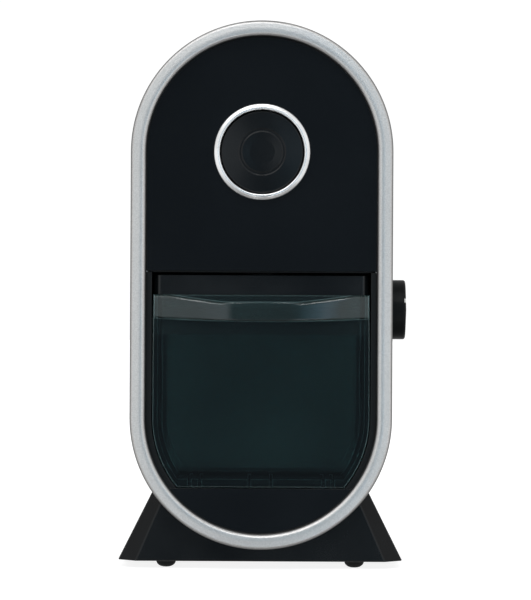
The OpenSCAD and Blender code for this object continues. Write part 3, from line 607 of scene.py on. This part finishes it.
def front_ring():
    """Silver trim: crest near the inside, a face that falls gently outward, rounded edges."""
    front, back = ring_lo.y, ring_hi.y
    panel_back = box("upper_front_panel")[0].y + PANEL_T
    inner = RING_R - 7.4      # the opening seen from the front
    seat = inner - 0.7        # the ledge behind the panels
    crest = inner + 3.2
    fall = 0.8                # from the crest back to the outer edge
    profile = rounded([
        (seat, back, 0), (RING_R, back, 0), (RING_R, front + fall, 1.9), (crest, front, 8),
        (inner, front, 2.2), (inner, panel_back, 0), (seat, panel_back, 0)], 10)
    steps = 72
    stations = ([(180 * i / steps, ARC_HIGH) for i in range(steps + 1)]
                + [(180 + 180 * i / steps, ARC_LOW) for i in range(steps + 1)])
    rings = [[(r * math.cos(math.radians(a)), y, z + r * math.sin(math.radians(a)))
              for r, y in profile] for a, z in stations]
    piece(loft("ring_trim", rings, closed=True), "root", "ring_silver", ["front_ring"], sharp=40)


def upper_panel():
    """Gloss panel with a hole for the button, and four posts for the control board."""
    lo, hi = box("upper_front_panel")
    radius = half_width(lo, hi)
    outline = arc((0, ARC_HIGH), radius, 0, 180, 96) + [(-radius, lo.z), (radius, lo.z)]
    panel = prism_y("upper_panel", outline, lo.y, lo.y + PANEL_T, edge=0.35)
    hole_r, hole_length = 21.6, 8
    hole_place = forward(ARC_HIGH) @ upright(0, 0, -lo.y - hole_length / 2)
    combine(panel, "DIFFERENCE", [rod("hole", hole_r, hole_length, hole_place, 96)])
    bore, post_r, overlap = 1, 3, 0.3
    top = hi.y - lo.y - PANEL_T + overlap
    sleeve = rounded([(bore, 0, 0), (post_r, 0, 0), (post_r, top, 0.3), (bore, top, 0)])
    screws_lo, screws_hi = box("board_screws")
    posts = [revolve("post", sleeve, backward(x, lo.y + PANEL_T - overlap, z), 32)
             for x in ends(screws_lo.x, screws_hi.x, BOARD_HEAD_R)
             for z in ends(screws_lo.z, screws_hi.z, BOARD_HEAD_R)]
    combine(panel, "UNION", posts)
    piece(panel, "root", "panel_gloss", ["upper_front_panel"])


def lower_panel():
    """Gloss panel below the container, a segment with a straight top."""
    lo, hi = box("lower_front_panel")
    radius = box("upper_front_panel")[1].x
    cut = math.degrees(math.asin((hi.z - ARC_LOW) / radius))
    outline = arc((0, ARC_LOW), radius, 180 - cut, 360 + cut, 72)
    panel = prism_y("lower_panel", outline, lo.y, hi.y, edge=0.15)
    piece(panel, "root", "panel_gloss", ["lower_front_panel"])


def button():
    """Bright rounded bezel, and the black button with a ring groove in its face."""
    lo, hi = box("button_bezel")
    outer, inner = half_width(lo, hi), 20.3
    reach, panel, back = -lo.y, -box("upper_front_panel")[0].y, -hi.y
    slope = 1.1               # how far the bezel's face falls outward
    bezel = rounded([
        (inner, back, 0), (SLEEVE_R, back, 0), (SLEEVE_R, panel, 0), (outer, panel, 0.1),
        (outer, reach - slope, 0.8), (inner + 0.45, reach, 1.2), (inner, reach - 0.5, 0.2)], 8)
    piece(revolve("bezel", bezel, forward(ARC_HIGH), 144), "root", "bezel_bright",
          ["button_bezel"], sharp=40)

    lo, hi = box("power_button")
    face, stem = -lo.y, -hi.y
    radius, wall, stem_r = 19.7, 1.6, 4
    groove = face - 0.35      # bottom of the ring groove, and the middle of the shallow dish
    roof = face - 2           # underside of the cap
    collar, collar_back = 65.6, 64
    cap = rounded([
        (0, groove, 0), (6, face - 0.22, 2), (9.6, face, 0.3),
        (10, groove, 0.2), (10.9, groove, 0.2), (11.3, face, 0.2),
        (radius, face - 0.5, 0.8), (radius, collar, 0), (SLEEVE_R, collar, 0),
        (SLEEVE_R, collar_back, 0), (radius - wall, collar_back, 0), (radius - wall, roof, 0),
        (stem_r, roof, 0), (stem_r, stem + 0.4, 0), (0, stem + 0.4, 0)], 5)
    piece(revolve("start_button", cap, forward(ARC_HIGH), 144), "power_button", "button_black",
          ["power_button"])


# ---- body ----

def housing():
    """Black shell: a stadium tube with a hatch over the hopper and a bore for the selector."""
    lo, hi = box("main_housing")
    half = half_width(lo, hi)
    shell = prism_y("housing_shell", stadium(half), lo.y, hi.y)
    core = prism_y("core", stadium(half - HOUSING_WALL), lo.y - 5, hi.y + 5)
    lid_lo, lid_hi = box("hopper_lid")
    gap = 0.4
    hatch = block("hatch", (lid_lo.x - gap, lid_lo.y - gap, ARC_HIGH + 20),
                  (lid_hi.x + gap, lid_hi.y + gap, ARC_HIGH + half + 5), 1.2)
    knob_lo, knob_hi = box("selector_knob")
    bore = rod("bore", 4.6, 10, rightward(half - 6, middle(knob_lo.y, knob_hi.y),
                                          middle(knob_lo.z, knob_hi.z)))
    combine(shell, "DIFFERENCE", [core, hatch, bore])
    soften(shell, 0.45)

    boss_length, web_t, shelf_t = 20, 3, 2.5
    web_start, shelf_start = 3.6, 50
    sunk = half - HOUSING_WALL + 0.5      # half a millimetre into the shell's wall
    screws_lo, screws_hi = box("rear_cover_screws")
    extras = []
    for x in ends(screws_lo.x, screws_hi.x, COVER_HEAD_R):
        for z in (ARC_LOW, ARC_HIGH):
            extras.append(pillar("boss", boss_length, backward(x, hi.y - boss_length, z)))
            side = 1 if x > 0 else -1
            left, right = sorted((x + side * web_start, side * sunk))
            extras.append(block("web", (left, hi.y - boss_length, z - web_t / 2),
                                (right, hi.y, z + web_t / 2)))
    plate = box("gear_plate")[0].z
    for side in (-1, 1):
        left, right = sorted((side * shelf_start, side * sunk))
        extras.append(block("shelf", (left, 12, plate - shelf_t), (right, hi.y - 6, plate)))
    combine(shell, "UNION", extras)
    piece(shell, "root", "housing_black", ["main_housing"])


def rear_cover():
    """Stepped cover with two groups of air slots, screw recesses and the lead's hole."""
    lo, hi = box("rear_cover")
    half = half_width(lo, hi)
    depth = (hi.y - lo.y) / 2             # of each of its two steps
    cover = prism_y("rear_shell", stadium(half), lo.y, lo.y + depth, edge=0.8)
    raised = prism_y("raised", stadium(half - 7), lo.y + depth - 1, hi.y, edge=0.9)
    combine(cover, "UNION", [raised])

    start = lo.y - 2                      # every cutter starts ahead of the cover
    slot_half, slot_height, end_r, pitch = 20, 3, 1.47, 7
    cutters = []
    for level in (ARC_LOW, ARC_HIGH - 42):
        for z in (level + i * pitch for i in range(6)):
            outline = rectangle(-slot_half, slot_half, z, z + slot_height, end_r, 8)
            cutters.append(prism_y("slot", outline, start, hi.y + 2))
    screw_x, shank_r, head_r, length = 48, 1.6, 3.4, 12
    recess = [(0, 0), (shank_r, 0), (shank_r, depth + 1), (head_r, depth + 1), (head_r, length),
              (0, length)]
    for x in (-screw_x, screw_x):
        for z in (ARC_LOW, ARC_HIGH):
            cutters.append(revolve("recess", recess, backward(x, start, z), 40))
    gland_lo, gland_hi = box("cord_gland")
    gland_z = middle(gland_lo.z, gland_hi.z)
    cutters.append(rod("gland_hole", 5.5, length, backward(0, start, gland_z), 48))
    combine(cover, "DIFFERENCE", cutters)
    piece(cover, "root", "housing_black", ["rear_cover"])


def stand_ring(half, front, back, cut, z):
    """The stand's outline at a height: a rectangle with its corners cut off."""
    corners = [(-half + cut, front), (half - cut, front), (half, front + cut), (half, back - cut),
               (half - cut, back), (-half + cut, back), (-half, back - cut), (-half, front + cut)]
    return [(x, y, z) for x, y in corners]


def stand():
    """Sloped stand with cut corners, hollow below, that cradles the body's round bottom."""
    lo, hi = box("base_stand")
    half = half_width(lo, hi)
    shrink = (hi.z - lo.z) * math.tan(math.radians(26.5))
    wall, top_back, cut_low, cut_high = 2.5, 72, 8.5, 6.3
    outside = loft("stand_shell", [
        stand_ring(half, lo.y, hi.y, cut_low, lo.z),
        stand_ring(half - shrink, lo.y, top_back, cut_high, hi.z)])
    soften(outside, 0.7, 20)
    hollow = loft("hollow", [
        stand_ring(half - wall, lo.y + wall, hi.y - wall, cut_low, lo.z - 1),
        stand_ring(half - shrink - wall, lo.y + wall, top_back - wall, cut_high, hi.z - wall)])
    body_r = box("main_housing")[1].x
    along, length = backward(0, lo.y - 20, ARC_LOW), 200
    combine(hollow, "DIFFERENCE", [rod("saddle", body_r + wall, length, along, 180)])
    combine(outside, "DIFFERENCE", [hollow, rod("cradle", body_r, length, along, 180)])
    screws_lo, screws_hi = box("base_screws")
    posts = [pillar("post", 19, upright(x, y, lo.z + 2))
             for x in ends(screws_lo.x, screws_hi.x, COVER_HEAD_R)
             for y in ends(screws_lo.y, screws_hi.y, COVER_HEAD_R)]
    combine(outside, "UNION", posts)
    piece(outside, "root", "stand_black", ["base_stand"])


def feet():
    """Four domed rubber feet with a thin collar where they meet the stand."""
    lo, hi = box("rubber_feet")
    base = box("base_plate")[0].z
    radius, flat, plug = 5, 0.8, 2        # of a foot, its flat bottom and the plug above it
    bowl_r, bowl_height = radius - 0.25 - flat, base - 0.5
    turns = [math.radians(angle) for angle in range(10, 91, 10)]
    dome = ([(0, 0), (flat, 0)]
            + [(flat + bowl_r * math.sin(t), bowl_height * (1 - math.cos(t))) for t in turns]
            + [(radius, base - 0.4), (radius, base), (plug, base), (plug, hi.z), (0, hi.z)])
    first, *others = [revolve("feet", dome, upright(x, y, 0), 48)
                      for x in ends(lo.x, hi.x, radius) for y in ends(lo.y, hi.y, radius)]
    combine(first, "UNION", others)
    piece(first, "root", "foot_rubber", ["rubber_feet"])


# ---- selector ----

def knob():
    """Round knob with a softly domed face and an inlaid white pointer."""
    lo, hi = box("selector_knob")
    radius = (hi.z - lo.z) / 2
    place = rightward(0, middle(lo.y, hi.y), middle(lo.z, hi.z))
    rim = (radius, hi.x - 0.8, 1.1)       # the domed face falls 0.8 to its rounded rim
    hub_r, recess_r, recess, hub_end = 3, 8.5, lo.x + 2.8, hi.x - 3
    body = revolve("knob_turned", rounded([
        (0, hi.x, 0), rim, (radius, lo.x, 0.4), (recess_r, lo.x, 0), (recess_r, recess, 0),
        (hub_r, recess, 0), (hub_r, hub_end, 0), (0, hub_end, 0)], 6), place)
    tilt = Matrix.Rotation(math.radians(-90 - 18.5), 4, "Z")
    width = 2.2

    def bar(name, grow):
        """A bar from the knob's middle ring outward, as wide as the pointer."""
        made = block(name, (radius * 0.56, -width / 2 - grow, hi.x - 1.5),
                     (radius + 5, width / 2 + grow, hi.x + 4))
        made.data.transform(place @ tilt)
        return made

    inlay = revolve("knob_inlay", rounded([
        (0, hi.x, 0), rim, (radius, lo.x, 0), (0, lo.x, 0)], 6), place)
    combine(inlay, "INTERSECT", [bar("keep", -0.05)])
    combine(body, "DIFFERENCE", [bar("groove", 0)])
    piece(body, "selector", "knob_black", ["selector_knob"])
    piece(inlay, "selector", "pointer_white", ["knob_pointer"])


# ---- grounds container ----

def lip_sections(half, plate_front, low, high, reach):
    """Cross-sections of the grip lip from left to right: it bulges forward, its top edge dips
    along a ramp at each side, and its lower edge sags a little."""
    bulge = plate_front - 1.2 - reach
    plan_r = (half * half + bulge * bulge) / (2 * bulge)
    back = plate_front + 0.6
    dip, sag, rise = 3.6, 1.4, 0.12
    ramp_start, ramp_end = 44, 17         # distances from the middle
    steps = 80
    rings = []
    for i in range(steps + 1):
        x = half * (2 * i / steps - 1)
        front = reach + plan_r - math.sqrt(plan_r * plan_r - x * x)
        ramp = clamp((ramp_start - abs(x)) / (ramp_start - ramp_end))
        crown = max(0, 1 - (x / ramp_end) ** 2)
        top = high - dip * ramp * (1.15 - 0.15 * ramp) + rise * crown
        bottom = low - sag * (1 - (x / half) ** 2)
        top_r = 0.5 + 1.4 * clamp((abs(x) - ramp_end + 2) / 4)
        outline = rounded([(back, bottom, 0), (front, bottom, 1.3), (front, top, top_r),
                           (back, top, 0)], 8)
        rings.append([(x, y, z) for y, z in outline])
    return rings


def container():
    """Smoke-tinted drawer: U-shaped front plate with a grip lip, a tub behind it, and runners."""
    lo, hi = box("grounds_container")
    plate_half = half_width(lo, hi)
    plate_front = box("upper_front_panel")[0].y
    plate_back = plate_front + TUB_PLATE_T
    tub_half = plate_half - TUB_STEP
    under, ground, lip_low = lo.z + 4, lo.z + 7.2, 120.1
    tub = prism_y("smoke_container", u_shape(plate_half, lo.z, hi.z), plate_front, plate_back,
                  edge=0.6)
    outer = prism_y("outer", u_shape(tub_half, under, hi.z), plate_front + 1, hi.y,
                    edge=2.2, segments=5)
    lip = loft("lip", lip_sections(plate_half - 0.6, plate_front, lip_low, hi.z, lo.y), edge=0.6)
    rib_half = 0.8
    ribs = [block("rib", (x - rib_half, plate_front + 1.2, lo.z),
                  (x + rib_half, hi.y - 4, ground - 1)) for x in (-34, -29, -5.5, 5, 30, 34.5)]
    combine(tub, "UNION", [outer, lip, *ribs])
    inside = prism_y("inside", u_shape(tub_half - TUB_WALL, ground, hi.z + 20), plate_back,
                     hi.y - TUB_WALL, edge=1.4, segments=4)
    combine(tub, "DIFFERENCE", [inside])
    piece(tub, "container", "tub_smoke", ["grounds_container"], sharp=14)


def container_lid():
    """Black lid with rounded corners, a skirt that plugs the tub, and the inlet."""
    lo, hi = box("container_lid")
    half = half_width(lo, hi)
    rim = box("grounds_container")[1].z
    plate_back = box("upper_front_panel")[0].y + TUB_PLATE_T
    inside = half - TUB_STEP - TUB_WALL - 1
    front, back, skin = plate_back + 1, hi.y - 3, 2
    lid = prism_z("container_cap", rectangle(-half, half, lo.y, hi.y, 3.5, 10), rim + 0.05, hi.z,
                  edge=0.8)
    skirt = prism_z("skirt", rectangle(-inside, inside, front, back, 4), lo.z, rim + 1)
    combine(lid, "UNION", [skirt])
    hollow = prism_z("hollow", rectangle(-half + skin, half - skin, lo.y + skin, hi.y - skin, 1.5),
                     rim + skin, hi.z - skin)
    shaft = prism_z("shaft", rectangle(-inside + skin, inside - skin, front + skin, back - skin,
                                       2.5), lo.z - 1, hi.z - skin)
    chute_lo, chute_hi = box("grounds_chute")
    inlet = rod("inlet", 12, 30, upright(0, middle(chute_lo.y, chute_hi.y), rim), 64)
    combine(lid, "DIFFERENCE", [hollow, shaft, inlet])
    piece(lid, "container", "lid_black", ["container_lid"])


# ---- hopper ----

def dome_cut(name, radius):
    """Everything below the body's round top, at a given radius."""
    return rod(name, radius, 300, backward(0, -150, ARC_HIGH), 192)


def hopper_lid():
    """Curved smoke lid that closes the hatch, with a locating rim under it."""
    lo, hi = box("hopper_lid")
    body_r = box("main_housing")[1].x
    skin = 2.4
    lid = block("bean_lid", (lo.x, lo.y, ARC_HIGH + 20), (hi.x, hi.y, ARC_HIGH + body_r + 5), 1)
    combine(lid, "INTERSECT", [dome_cut("outer_dome", body_r)])
    combine(lid, "DIFFERENCE", [dome_cut("inner_dome", body_r - skin)])
    soften(lid, 0.4)
    rim_half, rim_t, below, above = 39.4, 1.6, 230, 262
    front, back = lo.y + 4.2, hi.y - 4.2
    rim = prism_z("rim", rectangle(-rim_half, rim_half, front, back, 5.4), lo.z, above)
    core = prism_z("rim_core", rectangle(-rim_half + rim_t, rim_half - rim_t, front + rim_t,
                                         back - rim_t, 3.8), below, above + 1)
    combine(rim, "DIFFERENCE", [core])
    combine(rim, "INTERSECT", [dome_cut("rim_dome", body_r - 1)])
    combine(lid, "UNION", [rim])
    piece(lid, "hopper_lid", "hopper_smoke", ["hopper_lid"], sharp=14)


def adjuster():
    """Orange ring with rounded grip ridges and a raised rim."""
    lo, hi = box("adjuster_ring")
    y = middle(lo.y, hi.y)
    inner, outer, height = 15.9, 22.6, hi.z - lo.z
    ledge = height - 1.2
    ring = revolve("adjuster_dial", rounded([
        (inner, 0, 0), (outer, 0, 0.4), (outer, height, 0.8), (19, height, 0.3),
        (18.4, ledge, 0.3), (inner, ledge, 0.4)], 5), upright(0, y, lo.z))
    ridge_half, count = 1.2, 16
    ridges = []
    for i in range(count):
        outline = rectangle(outer - 1, outer + 1.2, -ridge_half, ridge_half, 0.7, 5)
        ridge = prism_z("ridge", outline, lo.z, hi.z - 0.3, edge=0.4)
        ridge.data.transform(upright(0, y, 0) @ Matrix.Rotation(2 * math.pi * i / count, 4, "Z"))
        ridges.append(ridge)
    combine(ring, "UNION", ridges)
    piece(ring, "adjuster", "adjuster_orange", ["adjuster_ring"])


def gland():
    """Rubber gland at the back, ribbed and rounded, open for a lead."""
    lo, hi = box("cord_gland")
    length = hi.y - lo.y
    bore, neck, flange = 3.3, 5.5, 7.5
    profile = rounded([
        (bore, 0, 0.5), (flange, 0, 0.8), (flange, 4, 0.5), (neck, 4, 0),
        (neck, length - 2.5, 0), (flange, length - 2.5, 0.4), (flange, length, 1),
        (4.4, length, 0.4), (4.1, length - 0.6, 0), (bore, length - 0.6, 0.3)], 5)
    made = revolve("lead_gland", profile, backward(0, lo.y, middle(lo.z, hi.z)), 64)
    piece(made, "root", "gland_black", ["cord_gland"])


# ---- stage ----

def floor():
    """Plain pale floor that shows only a faint shadow."""
    bm = bmesh.new()
    half_side = 9             # metres
    bmesh.ops.create_grid(bm, x_segments=1, y_segments=1, size=half_side)
    plane = to_object("floor", bm)
    finish = Finish("pale_floor", (0.36, 0.36, 0.36), 1)
    finish.set("Specular IOR Level", 0)
    finish.set("Emission Color", (1, 1, 1))
    finish.set("Emission Strength", 0.86)
    plane.data.materials.append(finish.material)
    plane.visible_glossy = False
    plane.visible_diffuse = False
    plane.visible_transmission = False


def grey(value):
    """A colour with the same value in red, green and blue."""
    return (value, value, value)


# The studio's light by angle in degrees, from -180 to 180: 0 is straight ahead of the object's
# front, and positive is to the right. Each stop is an angle and a colour.
DARK_GAP = (0.12, 0.155, 0.19)
STRIP, TABLE, TABLE_STRIP = grey(5.5), grey(0.4), grey(2.6)
LEVEL = [
    (-180, grey(0.5)), (-90, grey(0.36)), (-60, grey(0.92)), (-13, (0.94, 1.0, 1.03)),
    (-8, (1.1, 1.2, 1.28)), (-6.7, (1.0, 1.12, 1.2)), (-6.3, DARK_GAP), (6.9, DARK_GAP),
    (7.3, (0.16, 0.36, 0.46)), (11.3, (0.7, 1.1, 1.4)), (11.9, (1.15, 1.55, 1.9)),
    (14.5, (1.0, 1.25, 1.4)), (14.9, (0.95, 1.0, 1.03)), (60, grey(1.0)), (90, grey(0.38)),
    (180, grey(0.5))]
RAISED = [
    (-180, grey(0.5)), (-90, grey(0.5)), (-50, grey(2.2)), (-12, grey(2)), (-11, STRIP),
    (-4, STRIP), (-3, DARK_GAP), (3, DARK_GAP), (4, STRIP), (11.5, STRIP), (13, grey(1.1)),
    (50, grey(0.85)), (90, grey(0.45)), (180, grey(0.5))]
ABOVE = [(-90, grey(0.4)), (-10, grey(1.1)), (-6, grey(0.2)), (6, grey(0.2)), (10, grey(1.1)),
         (90, grey(0.4))]
BELOW = [
    (-180, TABLE), (-13, TABLE), (-12, TABLE_STRIP), (-7.5, TABLE_STRIP), (-6.5, TABLE),
    (7, TABLE), (8, TABLE_STRIP), (15, TABLE_STRIP), (16, TABLE), (180, TABLE)]


def studio():
    """White background, and round the object a soft studio: a darker room straight in front,
    tall soft panels at both sides, a bright ceiling and a dim table."""
    world = bpy.data.worlds.new("studio")
    bpy.context.scene.world = world
    world.use_nodes = True
    nodes = Nodes(world.node_tree)
    nodes.tree.nodes.clear()

    def degrees(operation, *values):
        """An angle from an inverse function, in degrees."""
        return nodes.calc("MULTIPLY", nodes.calc(operation, *values), 180 / math.pi)

    def ramp(angle, stops):
        """Colours against an angle from -180 to 180 degrees."""
        made = nodes.add("ShaderNodeValToRGB", Fac=nodes.calc("MULTIPLY_ADD", angle, 1 / 360, 0.5))
        elements = made.color_ramp.elements
        elements.remove(elements[1])
        for i, (stop, colour) in enumerate(stops):
            position = stop / 360 + 0.5
            element = elements.new(position) if i else elements[0]
            element.position = position
            element.color = (*colour, 1)
        return made.outputs["Color"]

    view = nodes.add("ShaderNodeTexCoord").outputs["Generated"]
    x, y, z = nodes.add("ShaderNodeSeparateXYZ", Vector=view).outputs
    azimuth = degrees("ARCTAN2", x, nodes.calc("MULTIPLY", y, -1))
    sideways = degrees("ARCSINE", x)
    elevation = degrees("ARCSINE", z)
    room = ramp(azimuth, LEVEL)
    # Each row blends the room so far into a colour, as a direction goes from start to end
    for direction, start, end, colour in (
            (elevation, 28, 37, ramp(azimuth, RAISED)),
            (elevation, 58, 70, ramp(sideways, ABOVE)),
            (elevation, -24, -34, ramp(azimuth, BELOW)),
            (elevation, -42, -48, grey(0.3)),
            (y, 0.1, 0.4, grey(0.55))):
        room = nodes.mix(nodes.span(direction, 0, 1, start, end, smooth=True), room, colour)

    lit = nodes.add("ShaderNodeBackground", Color=room, Strength=1.0)
    seen = nodes.add("ShaderNodeBackground", Color=(1, 1, 1), Strength=1.05)
    choice = nodes.add("ShaderNodeMixShader")
    sources = (nodes.add("ShaderNodeLightPath").outputs["Is Camera Ray"], lit.outputs[0],
               seen.outputs[0])
    for socket, source in zip(choice.inputs, sources):
        nodes.put(socket, source)
    nodes.add("ShaderNodeOutputWorld", Surface=choice.outputs[0])


def camera():
    """Long lens, level with the middle of the body, and rolled very slightly."""
    right, ahead, height, roll = 1.95, 1600, 128.9, 0.3
    data = bpy.data.cameras.new("camera")
    data.lens = 202
    data.sensor_width = 36
    data.clip_start = 0.05
    data.clip_end = 60
    made = bpy.data.objects.new("camera", data)
    bpy.context.scene.collection.objects.link(made)
    made.matrix_world = (Matrix.Translation((mm(right), mm(ring_lo.y - ahead), mm(height)))
                         @ Matrix.Rotation(math.radians(90), 4, "X")
                         @ Matrix.Rotation(math.radians(roll), 4, "Z"))
    bpy.context.scene.camera = made


camera()
studio()
floor()
bpy.context.scene.view_settings.view_transform = "Standard"

front_ring()
upper_panel()
lower_panel()
button()
housing()
rear_cover()
stand()
feet()
knob()
container()
container_lid()
hopper_lid()
adjuster()
gland()
